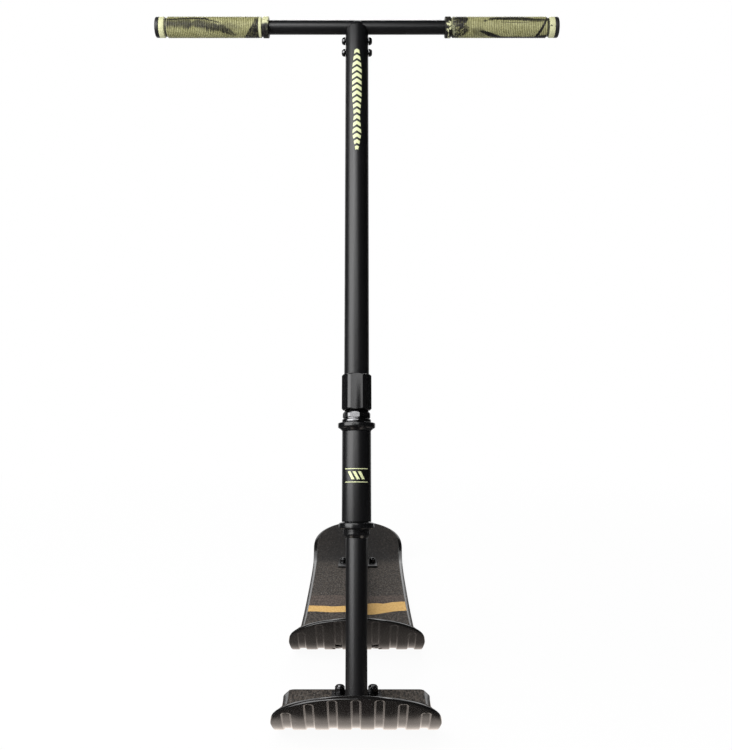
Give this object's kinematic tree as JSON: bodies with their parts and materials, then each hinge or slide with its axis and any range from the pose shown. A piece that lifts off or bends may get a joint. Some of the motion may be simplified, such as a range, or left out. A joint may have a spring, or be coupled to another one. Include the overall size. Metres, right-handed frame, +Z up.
{
  "type": "snow scooter",
  "caption": "Snow scooter: a T handlebar on a raked column steers a short front ski, ahead of a long upturned board under a bent tube frame.",
  "frame": {"origin": "on the ground, under the middle of the whole scooter's length and width", "axes": "+Z up, +Y to the rear along the board, -Y the way it rides; left is -X and right is +X, as seen from the front"},
  "size_m": [0.6204, 1.0268, 0.9803],
  "materials": {
    "board_plastic": "smooth moulded black plastic with light scuffs",
    "grip_tape": "dark grey grit tape, with a taupe and an ochre band across the rear board",
    "black_paint": "satin black powder coat",
    "black_steel": "glossy black plated steel",
    "bearing_steel": "bright bearing steel",
    "grip_rubber": "ribbed olive rubber with dark marbled swirls",
    "plug_plastic": "moulded black plastic"
  },
  "bodies": {
    "frame": {"rear_board": "board_plastic", "rear_board_grip_tape": "grip_tape", "head_tube": "black_paint", "lower_cup": "black_steel", "upper_cup": "black_steel", "lower_bearing": "bearing_steel", "upper_bearing": "bearing_steel", "main_tube": "black_paint", "main_tube_plug": "plug_plastic", "saddle_plate": "black_paint", "foot_plate": "black_paint", "frame_bolt_front_left": "black_steel", "frame_washer_front_left": "black_steel", "frame_nut_front_left": "black_steel", "frame_bolt_front_right": "black_steel", "frame_washer_front_right": "black_steel", "frame_nut_front_right": "black_steel", "frame_bolt_rear_left": "black_steel", "frame_washer_rear_left": "black_steel", "frame_nut_rear_left": "black_steel", "frame_bolt_rear_right": "black_steel", "frame_washer_rear_right": "black_steel", "frame_nut_rear_right": "black_steel"},
    "steering": {"front_ski": "board_plastic", "front_ski_grip_tape": "grip_tape", "fork": "black_paint", "hex_sleeve": "black_paint", "bar_downtube": "black_paint", "crossbar": "black_paint", "crown_race": "black_steel", "upper_race": "black_steel", "lock_washer": "black_steel", "headset_locknut": "black_steel", "set_screw_upper": "black_steel", "set_screw_lower": "black_steel", "crossbar_screw_upper_left": "black_steel", "crossbar_screw_upper_right": "black_steel", "crossbar_screw_lower_left": "black_steel", "crossbar_screw_lower_right": "black_steel", "ski_bolt_front_left": "black_steel", "ski_washer_front_left": "black_steel", "ski_nut_front_left": "black_steel", "ski_bolt_front_right": "black_steel", "ski_washer_front_right": "black_steel", "ski_nut_front_right": "black_steel", "ski_bolt_rear_left": "black_steel", "ski_washer_rear_left": "black_steel", "ski_nut_rear_left": "black_steel", "ski_bolt_rear_right": "black_steel", "ski_washer_rear_right": "black_steel", "ski_nut_rear_right": "black_steel", "grip_left": "grip_rubber", "bar_end_plug_left": "plug_plastic", "grip_right": "grip_rubber", "bar_end_plug_right": "plug_plastic"}
  },
  "joints": [
    {"name": "steering", "type": "hinge", "parent": "frame", "child": "steering", "pos_m": [0, -0.37044, 0], "axis": [0, 0.1942, 0.981], "range_deg": [-90, 90]}
  ]
}
